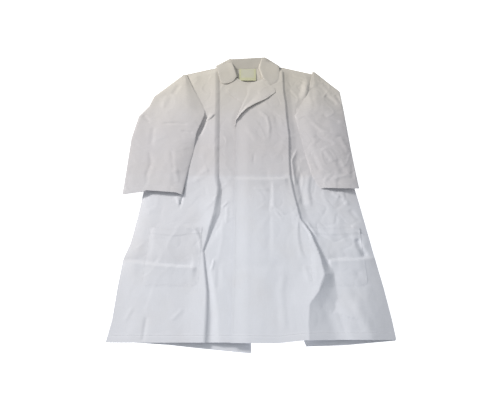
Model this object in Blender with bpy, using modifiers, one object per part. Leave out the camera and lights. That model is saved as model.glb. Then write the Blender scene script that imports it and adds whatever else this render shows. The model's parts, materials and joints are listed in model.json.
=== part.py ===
"""A knee-length laboratory coat with a notched collar, laid on its back and closed at the front.

Metres, +Z up from the table, +Y from hem to collar. Left is -X and right is +X as the coat is looked
at; the right front lies over the left one. Each panel of cloth is a thin closed solid, a little thicker
than the cloth, and the spaces that a body, an arm or a hand goes into are kept open.
"""

import bmesh
import bpy
from mathutils import Vector

# ---------------------------------------------------------------- overall sizes
LENGTH = 1.055  # hem to the neck end of a shoulder seam
SHOULDER_DROP = 0.042  # shoulder point below the neck end
SHOULDER_HALF = 0.232  # middle to the shoulder point
UNDERARM_DEPTH = 0.208  # shoulder point down to the underarm
CHEST_HALF = 0.285  # middle to the side seam at the underarm
HIP_HALF = 0.318
HIP_HEIGHT = 0.460  # hem up to the hip line
HEM_HALF = 0.350
BACK_DROP = 0.030  # back hem below the front hem, at the middle

# ---------------------------------------------------------------- closing
CREASE_NECK = 0.120  # fold line of each front, out from the middle, at the neck
CREASE_HEM_LEFT = 0.110
CREASE_HEM_RIGHT = 0.142
OVER_REACH = 0.047  # front edge of the right front, past the middle
UNDER_REACH = 0.030  # front edge of the left front, past the middle
BREAK_DEPTH = 0.288  # neck end down to where the lapels start
ROLL_TOP_DEPTH = 0.070  # neck end down to where the roll lines meet the neck
ROLL_TOP_HALF = 0.043
NECK_HALF = 0.080  # middle to the neck end of the neckline
FACING_WIDTH = 0.075
RISE_WIDTH = 0.040  # the right front climbs over the left one in this width

# ---------------------------------------------------------------- collar and label
COLLAR_HEIGHT = 0.056  # collar's top edge above the neck end
COLLAR_BACK_HALF = 0.066
FALL_DEPTH = 0.075
LAPEL_TIP_HALF = 0.088
LAPEL_TIP_DEPTH = 0.135
NOTCH_HALF = 0.071
NOTCH_DEPTH = 0.098
LEAF_TIP_HALF = 0.107
LEAF_TIP_DEPTH = 0.078
NECK_FACING_DEPTH = 0.100
LABEL_WIDTH = 0.062
LABEL_HEIGHT = 0.074

# ---------------------------------------------------------------- sleeves
SLEEVE_LENGTH = 0.550
UPPER_LENGTH = 0.310  # shoulder point down to the elbow fold
SLEEVE_INNER_TOP = 0.149  # inner edge at the underarm, from the middle
CUFF_INNER_LEFT = 0.203
CUFF_INNER_RIGHT = 0.190
ELBOW_OUTER_LEFT = 0.386
ELBOW_OUTER_RIGHT = 0.330
CUFF_OUTER_LEFT = 0.379
CUFF_OUTER_RIGHT = 0.333
HEAD_STEP = 0.085  # the sleeve head spreads to HEAD_SPREAD in this depth
HEAD_SPREAD = 0.088
TUBE_SLOPE = 0.013  # width of a sleeve's or pocket's sloping side

# ---------------------------------------------------------------- pockets and buttons
POCKET_MOUTH = 0.335  # hem up to a pocket's mouth
POCKET_DEPTH = 0.185
POCKET_WIDTH = 0.150
POCKET_INSET = 0.022  # crease to the pocket's inner side
VENT_HEIGHT = 0.420
VENT_SPREAD = 0.133  # the right back panel's vent edge at the hem
BUTTON_RADIUS = 0.0092
BUTTON_HEIGHT = 0.0030
BUTTON_SPACING = 0.135
BUTTON_TOP_DROP = 0.025  # first button below the lapel break
BUTTON_SET = 0.022  # button's centre in from the left front's edge
BUTTON_HOLE_RADIUS = 0.0010
BUTTON_HOLE_OFFSET = 0.0022
BUTTON_COUNT = 4

# ---------------------------------------------------------------- cloth and spaces
CLOTH = 0.0015
FACING = 0.0010
LABEL = 0.0006
GAP = 0.0003
HINGE_GAP = 0.0004
BODY_SPACE = 0.0058
ARM_SPACE = 0.0060
POCKET_SPACE = 0.0053
SIDE_SLOPE = 0.030  # width in which a front comes down to its side seam

# ---------------------------------------------------------------- places that follow from the sizes
SHOULDER_Y = LENGTH - SHOULDER_DROP
UNDERARM_Y = SHOULDER_Y - UNDERARM_DEPTH
BREAK_Y = LENGTH - BREAK_DEPTH
ROLL_TOP_Y = LENGTH - ROLL_TOP_DEPTH
COLLAR_Y = LENGTH + COLLAR_HEIGHT
ELBOW_Y = SHOULDER_Y - UPPER_LENGTH
CUFF_Y = SHOULDER_Y - SLEEVE_LENGTH

FALL_Z = 0.0
BACK_TOP_Z = FALL_Z + CLOTH + GAP  # the back panels ride over the collar's fall
UNDER_FACING_Z = CLOTH + BODY_SPACE
FRONT_Z = UNDER_FACING_Z + FACING + GAP
ON_FRONT_Z = FRONT_Z + CLOTH + GAP
OVER_FACING_Z = ON_FRONT_Z + BUTTON_HEIGHT + GAP
OVER_Z = OVER_FACING_Z + FACING + GAP
ON_OVER_Z = OVER_Z + CLOTH + GAP
SEAM_Z = CLOTH + GAP
TUBE_EDGE_Z = ON_FRONT_Z + CLOTH + GAP
TUBE_TOP_Z = ON_FRONT_Z + CLOTH + ARM_SPACE
HINGE_Z = ON_FRONT_Z

LEFT_END = -max(ELBOW_OUTER_LEFT, CUFF_OUTER_LEFT, HEM_HALF)
RIGHT_END = max(HEM_HALF, ELBOW_OUTER_RIGHT, CUFF_OUTER_RIGHT)
ORIGIN = Vector(((LEFT_END + RIGHT_END) / 2, (COLLAR_Y - BACK_DROP) / 2, 0))

for old in list(bpy.data.objects):
    bpy.data.objects.remove(old, do_unlink=True)

coat = bpy.data.collections.new("lab_coat")
bpy.context.scene.collection.children.link(coat)
cutters = bpy.data.collections.new("cutters")
cutters.hide_render = True
bpy.context.scene.collection.children.link(cutters)


def make_material(name, colour, roughness):
    material = bpy.data.materials.new(name)
    material.use_nodes = True
    shader = material.node_tree.nodes["Principled BSDF"]
    shader.inputs["Base Color"].default_value = (*colour, 1)
    shader.inputs["Roughness"].default_value = roughness
    shader.inputs["Metallic"].default_value = 0
    return material


def joint_empty(name, x, y, z, parent=None):
    """An empty on a joint's axis, which the pieces of the moving body hang from."""
    empty = bpy.data.objects.new(name, None)
    empty["world"] = (x - ORIGIN.x, y - ORIGIN.y, z)
    empty.location = Vector(empty["world"])
    if parent:
        empty.parent = parent
        empty.location -= Vector(parent["world"])
    coat.objects.link(empty)
    return empty


def put(name, data, height, colour, roughness, body):
    """Adds one piece; its mesh is counted from its body's joint, or from the origin of the coat."""
    piece = bpy.data.objects.new(name, data)
    data.materials.append(make_material(name, colour, roughness))
    piece.location.z = height - (body["world"][2] if body else 0)
    piece.parent = body
    coat.objects.link(piece)
    return piece


def from_body(x, y, body):
    base = body["world"] if body else (0, 0, 0)
    return x - ORIGIN.x - base[0], y - ORIGIN.y - base[1]


def loft(name, rows, thick, colour, body=None, roughness=0.85):
    """A panel of cloth through rows of points; a point's height is that of the panel's underside."""
    mesh = bpy.data.meshes.new(name)
    work = bmesh.new()
    lines = []
    for row in rows:
        lines.append([work.verts.new((*from_body(x, y, body), z + thick / 2)) for x, y, z in row])
    for low, high in zip(lines, lines[1:]):
        for k in range(len(low) - 1):
            work.faces.new((low[k], low[k + 1], high[k + 1], high[k]))
    bmesh.ops.recalc_face_normals(work, faces=work.faces)
    work.to_mesh(mesh)
    work.free()
    piece = put(name, mesh, 0.0, colour, roughness, body)
    shell = piece.modifiers.new("cloth", "SOLIDIFY")
    shell.thickness = thick
    shell.offset = 0
    shell.use_even_offset = True
    return piece


def plate(name, outline, bottom, thick, colour, body=None, roughness=0.85):
    """A flat piece of cloth from its outline."""
    curve = bpy.data.curves.new(name, "CURVE")
    curve.dimensions = "2D"
    curve.fill_mode = "BOTH"
    curve.extrude = thick / 2
    spline = curve.splines.new("POLY")
    spline.points.add(len(outline) - 1)
    for point, (x, y) in zip(spline.points, outline):
        point.co = (*from_body(x, y, body), 0, 1)
    spline.use_cyclic_u = True
    return put(name, curve, bottom + thick / 2, colour, roughness, body)


def at(stations, y):
    """Reads the value at y from (y, value) stations in rising y."""
    if y <= stations[0][0]:
        return stations[0][1]
    for (y0, a), (y1, b) in zip(stations, stations[1:]):
        if y <= y1:
            return a + (b - a) * (y - y0) / (y1 - y0)
    return stations[-1][1]


def crease(side, y):
    hem = CREASE_HEM_RIGHT if side > 0 else CREASE_HEM_LEFT
    return side * (hem + (CREASE_NECK - hem) * y / LENGTH)


def side_seam(side, y):
    """The body's outer edge: side seam from hem to underarm, then the armhole up to the shoulder."""
    stations = [(0, HEM_HALF), (HIP_HEIGHT, HIP_HALF), (UNDERARM_Y, CHEST_HALF)]
    stations.append((UNDERARM_Y + 0.45 * UNDERARM_DEPTH, SHOULDER_HALF - 0.006))
    stations.append((SHOULDER_Y, SHOULDER_HALF))
    return side * at(stations, y)


def shoulder_y(x):
    """Height of the shoulder seam across the coat."""
    return at([(NECK_HALF, LENGTH + 0.004), (CREASE_NECK, LENGTH), (SHOULDER_HALF, SHOULDER_Y)], abs(x))


white = (0.80, 0.80, 0.82)
shade = (0.72, 0.73, 0.76)
inside = (0.76, 0.76, 0.78)

# ---------------------------------------------------------------- back: two panels with a vent at the hem
body_heights = [HIP_HEIGHT / 2, VENT_HEIGHT, HIP_HEIGHT + 0.10, UNDERARM_Y]
body_heights += [UNDERARM_Y + 0.45 * UNDERARM_DEPTH, ROLL_TOP_Y - 0.035, ROLL_TOP_Y]


def back_z(y):
    """Underside of the back panels: on the table, and over the collar's fall near the neck."""
    return at([(ROLL_TOP_Y - 0.035, 0.0), (ROLL_TOP_Y, BACK_TOP_Z)], y)


def back_panel(name, side, vent_edge):
    rows = []
    for y in [0.0] + body_heights:
        outer = side_seam(side, y)
        inner = side * GAP + at([(0, vent_edge), (VENT_HEIGHT, 0), (LENGTH, 0)], y)
        z = back_z(y)
        drop = BACK_DROP if y == 0 else 0
        middle = (outer + inner) / 2
        low = 1 - abs(inner) / HEM_HALF
        rows.append([(outer, y, z), (middle, y - 0.5 * drop * low, z), (inner, y - drop * low, z)])
    tips = [side * SHOULDER_HALF, side * NECK_HALF, side * GAP]
    heights = [SHOULDER_Y, LENGTH, LENGTH + 0.008]
    rows.append([(x, y, BACK_TOP_Z) for x, y in zip(tips, heights)])
    return loft(name, rows, CLOTH, inside)


back_panel("back_left", -1, 0.002)
back_panel("back_right", 1, VENT_SPREAD)

half_turn = [(-NECK_HALF, LENGTH - 0.004)]
for step in range(1, 12):
    across = -NECK_HALF + 2 * NECK_HALF * step / 12
    round_off = (1 - (across / NECK_HALF) ** 2) ** 0.5
    half_turn.append((across, LENGTH - 0.010 - NECK_FACING_DEPTH * round_off))
half_turn.append((NECK_HALF, LENGTH - 0.004))
neck_z = BACK_TOP_Z + CLOTH + GAP
plate("back_neck_facing", half_turn, neck_z, FACING, inside)
label_top = LENGTH - 0.012
label_half = LABEL_WIDTH / 2
label_box = [(-label_half, label_top - LABEL_HEIGHT), (label_half, label_top - LABEL_HEIGHT)]
label_box += [(label_half, label_top), (-label_half, label_top)]
plate("neck_label", label_box, neck_z + FACING + GAP, LABEL, (0.72, 0.72, 0.58))

# ---------------------------------------------------------------- side of each front, crease to side seam


def side_front(name, side):
    rows = []
    for y in [0.0] + body_heights:
        seam = side_seam(side, y)
        fold = crease(side, y) + side * HINGE_GAP / 2
        knee = seam - side * SIDE_SLOPE
        rows.append([(fold, y, FRONT_Z), (knee, y, FRONT_Z), (seam, y, back_z(y) + SEAM_Z + 0.0001)])
    fold = crease(side, LENGTH) + side * HINGE_GAP / 2
    knee = side * (SHOULDER_HALF - SIDE_SLOPE)
    seam_z = BACK_TOP_Z + CLOTH + GAP
    top = [(fold, LENGTH - 0.014, FRONT_Z), (knee, shoulder_y(knee) - 0.012, FRONT_Z)]
    top.append((side * SHOULDER_HALF, SHOULDER_Y - 0.008, seam_z + 0.0006))
    rows.append(top)
    ends = [(fold, LENGTH), (knee, shoulder_y(knee)), (side * SHOULDER_HALF, SHOULDER_Y)]
    rows.append([(x, y, seam_z + 0.0004) for x, y in ends])
    return loft(name, rows, CLOTH, white)


side_front("side_front_left", -1)
side_front("side_front_right", 1)

# ---------------------------------------------------------------- patch pockets, open at the mouth


def pocket(name, side):
    inner = crease(side, POCKET_MOUTH) + side * POCKET_INSET
    outer = inner + side * POCKET_WIDTH
    columns = [inner, inner + side * TUBE_SLOPE, outer - side * TUBE_SLOPE, outer]
    low = [ON_FRONT_Z] * 4
    high = [ON_FRONT_Z, ON_FRONT_Z + POCKET_SPACE, ON_FRONT_Z + POCKET_SPACE, ON_FRONT_Z]
    foot = POCKET_MOUTH - POCKET_DEPTH
    rows = []
    for y, heights in ((foot, low), (foot + TUBE_SLOPE, high), (POCKET_MOUTH, high)):
        rows.append([(x, y, z) for x, z in zip(columns, heights)])
    return loft(name, rows, CLOTH, white)


pocket("pocket_left", -1)
pocket("pocket_right", 1)

# ---------------------------------------------------------------- collar behind the neck
roll_mid = COLLAR_Y - CLOTH / 2
fold_path = [(COLLAR_Y - FALL_DEPTH, FALL_Z), (roll_mid - 0.010, FALL_Z), (roll_mid - 0.002, 0.0014)]
fold_path += [(roll_mid, 0.0042), (roll_mid - 0.003, 0.0066), (roll_mid - 0.012, 0.0070)]
fold_path.append((LENGTH + 0.014, 0.0056))
collar_rows = []
for across in (-COLLAR_BACK_HALF, 0.0, COLLAR_BACK_HALF):
    collar_rows.append([(across, y, z) for y, z in fold_path])
loft("collar_back", collar_rows, CLOTH, shade)

# ---------------------------------------------------------------- left front, underneath
under = joint_empty("under_fold", crease(-1, 0), 0, HINGE_Z)
over = joint_empty("over_fold", crease(1, 0), 0, HINGE_Z)


def roll_line(side, reach, y):
    """X of a front's inner edge: straight to the lapel break, then along the roll line and the neck."""
    stations = [(0, -reach), (BREAK_Y, -reach), (ROLL_TOP_Y, ROLL_TOP_HALF)]
    stations.append((LENGTH - 0.012, NECK_HALF))
    return side * at(stations, y)


front_heights = [0.0, HIP_HEIGHT, BREAK_Y, ROLL_TOP_Y, LENGTH - 0.012]

under_rows = []
for y in front_heights:
    ends = (crease(-1, y) + HINGE_GAP / 2, roll_line(-1, UNDER_REACH, y))
    under_rows.append([(x, y, FRONT_Z) for x in ends])
loft("front_under", under_rows, CLOTH, white, under)

over_rows = []
for y in front_heights:
    fold = crease(1, y) - HINGE_GAP / 2
    edge = roll_line(1, OVER_REACH, y)
    step = max(fold - RISE_WIDTH, edge + 0.002)
    over_rows.append([(edge, y, OVER_Z), (step, y, OVER_Z), (fold, y, FRONT_Z)])
loft("front_over", over_rows, CLOTH, white, over)


def facing(name, side, reach, bottom, body):
    """The strip inside a front, along its edge up to the lapel break."""
    near = -side * reach + side * 0.002
    far = near + side * FACING_WIDTH
    box = [(near, 0.002), (far, 0.002), (far, BREAK_Y), (near, BREAK_Y)]
    return plate(name, box, bottom, FACING, inside, body)


facing("facing_under", -1, UNDER_REACH, UNDER_FACING_Z, under)
facing("facing_over", 1, OVER_REACH, OVER_FACING_Z, over)


def lapel(name, side, reach, bottom, body):
    """The turned-back top of a front, from the break to the gorge, with a bellied outer edge."""
    start = Vector((-reach + 0.002, BREAK_Y + 0.004))
    tip = Vector((LAPEL_TIP_HALF, LENGTH - LAPEL_TIP_DEPTH))
    along = tip - start
    belly = Vector((along.y, -along.x)) * 0.10
    outline = [start]
    for step in range(1, 8):
        t = step / 8
        outline.append(start + along * t + belly * 4 * t * (1 - t))
    outline.append(tip)
    outline.append(Vector((NOTCH_HALF, LENGTH - NOTCH_DEPTH - GAP)))
    outline.append(Vector((ROLL_TOP_HALF + 0.002, ROLL_TOP_Y - GAP)))
    return plate(name, [(side * p.x, p.y) for p in outline], bottom, CLOTH, white, body)


lapel("lapel_under", -1, UNDER_REACH, ON_FRONT_Z, under)
lapel("lapel_over", 1, OVER_REACH, ON_OVER_Z, over)


def collar_leaf(name, side, bottom, body):
    """The end of the collar that lies on a front, above the gorge."""
    outline = [(ROLL_TOP_HALF + 0.002, ROLL_TOP_Y + GAP), (NOTCH_HALF, LENGTH - NOTCH_DEPTH + GAP)]
    outline += [(LEAF_TIP_HALF, LENGTH - LEAF_TIP_DEPTH), (CREASE_NECK - 0.003, LENGTH)]
    outline.append((COLLAR_BACK_HALF, COLLAR_Y - 0.001))
    return plate(name, [(side * x, y) for x, y in outline], bottom, CLOTH, shade, body)


collar_leaf("collar_under", -1, ON_FRONT_Z, under)
collar_leaf("collar_over", 1, ON_OVER_Z, over)

# ---------------------------------------------------------------- buttons, sewn on the left front
punch_mesh = bpy.data.meshes.new("button_punch")
punch_work = bmesh.new()
for x, y in ((1, 1), (-1, 1), (-1, -1), (1, -1)):
    made = bmesh.ops.create_cone(
        punch_work,
        cap_ends=True,
        segments=10,
        radius1=BUTTON_HOLE_RADIUS,
        radius2=BUTTON_HOLE_RADIUS,
        depth=4 * BUTTON_HEIGHT,
    )
    bmesh.ops.translate(
        punch_work, verts=made["verts"], vec=(x * BUTTON_HOLE_OFFSET / 1.4, y * BUTTON_HOLE_OFFSET / 1.4, 0)
    )
punch_work.to_mesh(punch_mesh)
punch_work.free()

for number in range(BUTTON_COUNT):
    x, y = from_body(UNDER_REACH - BUTTON_SET, BREAK_Y - BUTTON_TOP_DROP - number * BUTTON_SPACING, under)
    bpy.ops.mesh.primitive_cylinder_add(vertices=24, radius=BUTTON_RADIUS, depth=BUTTON_HEIGHT)
    button = bpy.context.object
    button.name = f"button_{number + 1}"
    button.data.materials.append(make_material(button.name, (0.85, 0.85, 0.83), 0.3))
    button.parent = under
    button.location = (x, y, BUTTON_HEIGHT / 2 + ON_FRONT_Z - under["world"][2])
    for holder in list(button.users_collection):
        holder.objects.unlink(button)
    coat.objects.link(button)
    rim = button.modifiers.new("rim", "BEVEL")
    rim.width = 0.0006
    rim.segments = 2
    rim.limit_method = "ANGLE"
    punch = bpy.data.objects.new(f"punch_{number + 1}", punch_mesh)
    punch.parent = under
    punch.location = button.location
    punch.display_type = "WIRE"
    punch.hide_render = True
    cutters.objects.link(punch)
    holes = button.modifiers.new("holes", "BOOLEAN")
    holes.object = punch

# ---------------------------------------------------------------- sleeves: a top and an under layer


def sleeve_edges(side, y):
    """X of a sleeve's inner and outer edge."""
    left = side < 0
    elbow_outer = ELBOW_OUTER_LEFT if left else ELBOW_OUTER_RIGHT
    cuff_outer = CUFF_OUTER_LEFT if left else CUFF_OUTER_RIGHT
    cuff_inner = CUFF_INNER_LEFT if left else CUFF_INNER_RIGHT
    inner = at([(CUFF_Y, cuff_inner), (UNDERARM_Y, SLEEVE_INNER_TOP), (SHOULDER_Y, SHOULDER_HALF)], y)
    head = [(CUFF_Y, cuff_outer), (ELBOW_Y, elbow_outer)]
    head.append((SHOULDER_Y - HEAD_STEP, SHOULDER_HALF + HEAD_SPREAD))
    head.append((SHOULDER_Y, SHOULDER_HALF + 0.006))
    return side * inner, side * at(head, y)


def sleeve_piece(name, side, heights, upper_layer, body):
    rows = []
    for y in heights:
        inner, outer = sleeve_edges(side, y)
        slope = min(TUBE_SLOPE, abs(outer - inner) / 3)
        columns = [inner, inner + side * slope, outer - side * slope, outer]
        rise = [0, slope / TUBE_SLOPE, slope / TUBE_SLOPE, 0]
        for k in range(4):
            z = ON_FRONT_Z
            if upper_layer:
                z = TUBE_EDGE_Z + 0.0002 + rise[k] * (TUBE_TOP_Z - TUBE_EDGE_Z)
            columns[k] = (columns[k], y, z)
        rows.append(columns)
    return loft(name, rows, CLOTH, white if upper_layer else shade, body)


for side, word in ((-1, "left"), (1, "right")):
    shoulder = joint_empty(f"{word}_shoulder", side * SHOULDER_HALF, SHOULDER_Y, TUBE_TOP_Z)
    elbow = joint_empty(f"{word}_elbow", side * 0.27, ELBOW_Y, TUBE_TOP_Z + CLOTH + GAP, shoulder)
    upper_heights = [ELBOW_Y + HINGE_GAP, UNDERARM_Y, UNDERARM_Y + 0.05, SHOULDER_Y - HEAD_STEP]
    upper_heights += [SHOULDER_Y - 0.045, SHOULDER_Y - 0.012]
    fore_heights = [CUFF_Y, (CUFF_Y + ELBOW_Y) / 2, ELBOW_Y - HINGE_GAP]
    sleeve_piece(f"upper_sleeve_under_{word}", side, upper_heights, False, shoulder)
    sleeve_piece(f"upper_sleeve_top_{word}", side, upper_heights, True, shoulder)
    sleeve_piece(f"forearm_under_{word}", side, fore_heights, False, elbow)
    sleeve_piece(f"forearm_top_{word}", side, fore_heights, True, elbow)
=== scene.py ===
import json
import math

import bmesh
import bpy
import numpy as np
from mathutils import Euler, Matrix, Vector, noise
from mathutils.bvhtree import BVHTree

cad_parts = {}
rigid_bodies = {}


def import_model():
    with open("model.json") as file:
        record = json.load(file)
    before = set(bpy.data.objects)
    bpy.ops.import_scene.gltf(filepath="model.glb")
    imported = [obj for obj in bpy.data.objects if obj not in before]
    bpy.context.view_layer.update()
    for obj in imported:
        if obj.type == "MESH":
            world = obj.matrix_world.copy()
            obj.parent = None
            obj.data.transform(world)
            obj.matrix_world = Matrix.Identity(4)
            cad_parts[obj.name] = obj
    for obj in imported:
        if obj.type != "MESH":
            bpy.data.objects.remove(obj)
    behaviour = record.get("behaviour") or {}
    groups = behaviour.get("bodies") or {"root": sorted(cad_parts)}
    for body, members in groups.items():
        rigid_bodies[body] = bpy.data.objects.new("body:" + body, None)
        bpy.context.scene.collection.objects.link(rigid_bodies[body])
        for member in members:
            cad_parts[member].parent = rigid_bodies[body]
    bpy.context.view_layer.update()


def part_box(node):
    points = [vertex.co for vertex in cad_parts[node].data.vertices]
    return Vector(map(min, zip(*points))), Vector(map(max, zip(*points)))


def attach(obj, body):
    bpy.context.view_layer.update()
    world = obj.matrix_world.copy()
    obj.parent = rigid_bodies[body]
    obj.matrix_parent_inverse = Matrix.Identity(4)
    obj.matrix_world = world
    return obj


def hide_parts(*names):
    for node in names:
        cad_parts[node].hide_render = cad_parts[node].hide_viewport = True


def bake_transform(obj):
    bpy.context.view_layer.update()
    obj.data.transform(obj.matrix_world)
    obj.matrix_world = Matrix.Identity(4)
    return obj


for left_over in list(bpy.data.objects):
    bpy.data.objects.remove(left_over, do_unlink=True)

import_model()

# ---------------------------------------------------------------- camera
# Looks down on the coat from beyond its hem, a little over a metre above the table.
camera = bpy.data.objects.new("camera", bpy.data.cameras.new("camera"))
camera.location = (0.018, -0.9835, 1.142)
camera.rotation_euler = Euler((math.radians(36.5), 0, 0))
camera.data.lens = 35
camera.data.sensor_width = 36
bpy.context.scene.collection.objects.link(camera)
bpy.context.scene.camera = camera
bpy.context.scene.view_settings.view_transform = "Standard"

# ---------------------------------------------------------------- light
# A wide soft lamp on the left, and an even pale sky that fills the shadows.


def soft_lamp(name, place, width, power, colour):
    lamp = bpy.data.lights.new(name, "AREA")
    lamp.shape = "DISK"
    lamp.size = width
    lamp.energy = power
    lamp.color = colour
    holder = bpy.data.objects.new(name, lamp)
    holder.location = place
    holder.rotation_euler = (Vector((0.0, 0.05, 0)) - Vector(place)).to_track_quat("-Z",
            "Y").to_euler()
    bpy.context.scene.collection.objects.link(holder)


soft_lamp("left_lamp", (-2.65, 1.35, 1.74), 0.86, 116, (1.0, 0.972, 0.94))
soft_lamp("front_lamp", (-0.9, -2.3, 1.9), 1.6, 14, (0.93, 0.96, 1.0))
sky = bpy.data.worlds.new("studio")
sky.use_nodes = True
sky.node_tree.nodes["Background"].inputs["Color"].default_value = (0.93, 0.96, 1.0, 1)
sky.node_tree.nodes["Background"].inputs["Strength"].default_value = 0.48
bpy.context.scene.world = sky

# ---------------------------------------------------------------- floor
# A plain white studio sweep, which glows a little so that it stays white.
work = bmesh.new()
bmesh.ops.create_grid(work, x_segments=1, y_segments=1, size=6)
bmesh.ops.translate(work, verts=work.verts, vec=(0, 0, -0.0006))
floor_mesh = bpy.data.meshes.new("floor")
work.to_mesh(floor_mesh)
work.free()
floor = bpy.data.objects.new("floor", floor_mesh)
bpy.context.scene.collection.objects.link(floor)
paper = bpy.data.materials.new("white_floor")
paper.use_nodes = True
paper_shader = paper.node_tree.nodes["Principled BSDF"]
paper_shader.inputs["Base Color"].default_value = (0.92, 0.92, 0.92, 1)
paper_shader.inputs["Roughness"].default_value = 0.9
paper_shader.inputs["Specular IOR Level"].default_value = 0.1
paper_shader.inputs["Emission Color"].default_value = (1, 1, 1, 1)
paper_shader.inputs["Emission Strength"].default_value = 0.75
floor_mesh.materials.append(paper)

# ---------------------------------------------------------------- back
# Two panels of white poly-cotton twill, joined by the middle seam above a vent.
# They lie flat on the table, and their stitched hem hangs lower than the fronts'.
MIDDLE = 0.018  # the coat's middle line, across the frame
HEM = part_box("front_over")[0].y  # front hem; heights up the coat are counted from it
LENGTH = 1.055  # front hem up to the neck end of the shoulder seam
CLOTH = 0.0012
SHOULDER = (0.232, 1.013)
UNDERARM = 0.805
HEM_DEPTH = 0.020
EYE_BACK, EYE_UP = 0.443, 1.142  # the eye, back from the hem and above the table


class Line:
    """A number that a material works out; sums and products of it add their own nodes."""

    def __init__(self, tree, socket):
        self.tree, self.socket = tree, socket

    def math(self, operation, *others):
        added = self.tree.nodes.new("ShaderNodeMath")
        added.operation = operation
        for slot, value in zip(added.inputs, (self, *others)):
            self.feed(slot, value)
        return Line(self.tree, added.outputs[0])

    def feed(self, slot, value):
        if isinstance(value, Line):
            self.tree.links.new(value.socket, slot)
        else:
            slot.default_value = value

    def reflected(self, operation, value):
        added = self.tree.nodes.new("ShaderNodeMath")
        added.operation = operation
        added.inputs[0].default_value = value
        self.feed(added.inputs[1], self)
        return Line(self.tree, added.outputs[0])

    def __add__(self, value):
        return self.math("ADD", value)

    def __sub__(self, value):
        return self.math("SUBTRACT", value)

    def __mul__(self, value):
        return self.math("MULTIPLY", value)

    def __rsub__(self, value):
        return self.reflected("SUBTRACT", value)

    __radd__, __rmul__ = __add__, __mul__


class Recipe:
    """A material being put together on the Principled shader."""

    def __init__(self, name):
        self.material = bpy.data.materials.new(name)
        self.material.use_nodes = True
        self.tree = self.material.node_tree
        self.shader = self.tree.nodes["Principled BSDF"]

    def node(self, kind, settings, output, **inputs):
        added = self.tree.nodes.new("ShaderNode" + kind)
        for key, value in settings.items():
            setattr(added, key, value)
        for key, value in inputs.items():
            slot = (added.inputs[int(key[1:])]
                    if key[1:].isdigit() else added.inputs[key.replace("_", " ")])
            if isinstance(value, Line):
                self.tree.links.new(value.socket, slot)
            else:
                slot.default_value = value
        return Line(self.tree, added.outputs[output])

    def ramp(self, value, start, end, low, high):
        """A smooth rise from low to high, while the value goes from start to end."""
        smooth_step = {"interpolation_type": "SMOOTHSTEP"}
        return self.node("MapRange", smooth_step, 0, Value=value, _1=start, _2=end, _3=low, _4=high)

    def steady(self, **values):
        for key, value in values.items():
            self.shader.inputs[key.replace("_", " ")].default_value = value

    def varies(self, key, value):
        self.tree.links.new(value.socket, self.shader.inputs[key])


# Painted light tints for the lamp's and sky's colour on white cloth: warm at the collar end, rosy
# over the chest, cool towards the hem.
WARM_LIGHT_TINT = (0.555, 0.520, 0.455, 1)
ROSY_LIGHT_TINT = (0.560, 0.540, 0.548, 1)
COOL_LIGHT_TINT = (0.700, 0.715, 0.760, 1)


def twill(name, darker=1.0, rib=0.0013, full_light_tint=True, step=0.20):
    """White poly-cotton twill: diagonal ribs, uneven threads, soft handling marks, a painted light
    tint, and painted shade at the side edges.
    """
    made = Recipe(name)
    place = made.node("TexCoord", {}, "Object")
    x = made.node("SeparateXYZ", {}, "X", Vector=place)
    y = made.node("SeparateXYZ", {}, "Y", Vector=place)
    turns = 2 * math.pi / rib
    ribs = ((x + y * 0.6) * turns).math("SINE") * 0.5 + 0.5
    threads = (x * (turns * 1.7)).math("SINE") * (y * (turns * 1.7)).math("SINE") * 0.5 + 0.5
    slubs = made.node("Mapping", {}, 0, Vector=place, Scale=(60, 900, 200))
    uneven = made.node("TexNoise", {}, 0, Vector=slubs, Scale=1.0, Detail=3.0, Roughness=0.6)
    handled = made.node("TexNoise", {}, 0, Vector=place, Scale=9.0, Detail=4.0, Roughness=0.55)
    crushed = made.node("TexNoise", {}, 0, Vector=place, Scale=46.0, Detail=5.0, Roughness=0.62)
    # Painted light tint: cool near the hem, rosier higher up, with a step at the fold across the
    # waist and a rosier patch on the left. Warm at the top. With the lighter setting, the lower
    # part stays mostly rosy.
    low = made.ramp(y, -0.30, 0.14, 0.0, 0.80)
    low = low + made.ramp(y, -0.030, -0.014, 0.0, step)
    low = low if full_light_tint else low * 0.35 + 0.65
    high = made.ramp(y, 0.12, 0.50, 0.0, 1.0)
    left = made.ramp(x, -0.06, -0.16, 0.0, 0.34)
    left = left * made.ramp(y, -0.335, -0.310, 0.5, 1.0)
    uneven_tint = (handled - 0.5) * 0.35
    body_tint = made.node("Mix", {"data_type": "RGBA"}, 2,
                          _0=low.math("MAXIMUM", left) + uneven_tint, _6=COOL_LIGHT_TINT, _7=ROSY_LIGHT_TINT)
    tint = made.node("Mix", {"data_type": "RGBA"}, 2, _0=high + uneven_tint, _6=body_tint, _7=WARM_LIGHT_TINT)
    # Painted shade: greyer towards the left side edge, and towards the right side near the hem.
    painted_left_edge_shade = made.ramp(x, -0.25, -0.35, 0.0, 0.11)
    painted_right_edge_shade = made.ramp(x, 0.27, 0.36, 0.0, 0.13)
    painted_shade_near_hem = made.ramp(y, -0.20, -0.45, 0.0, 1.0)
    painted_edge_shade = painted_left_edge_shade + painted_right_edge_shade * painted_shade_near_hem
    shade = 0.955 * darker + (uneven - 0.5) * 0.05 + (handled - 0.5) * 0.05 + ribs * 0.03 - painted_edge_shade
    grey = made.node("CombineXYZ", {}, 0, X=shade, Y=shade, Z=shade)
    colour = made.node("VectorMath", {"operation": "MULTIPLY"}, 0, _0=tint, _1=grey)
    made.varies("Base Color", colour)
    made.varies("Roughness", 0.80 + (handled - 0.5) * 0.12 + ribs * 0.04)
    relief = ribs * 0.00006 + threads * 0.00003 + crushed * 0.00055 + uneven * 0.00003
    bump = made.node("Bump", {}, 0, Strength=0.55, Distance=1.0, Height=relief)
    made.varies("Normal", bump)
    made.steady(Specular_IOR_Level=0.25, Sheen_Weight=0.12, Sheen_Roughness=0.5)
    return made.material


coat_twill = twill("coat_twill")
lining_twill = twill("inside_twill", darker=0.97, step=0.0)
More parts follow.
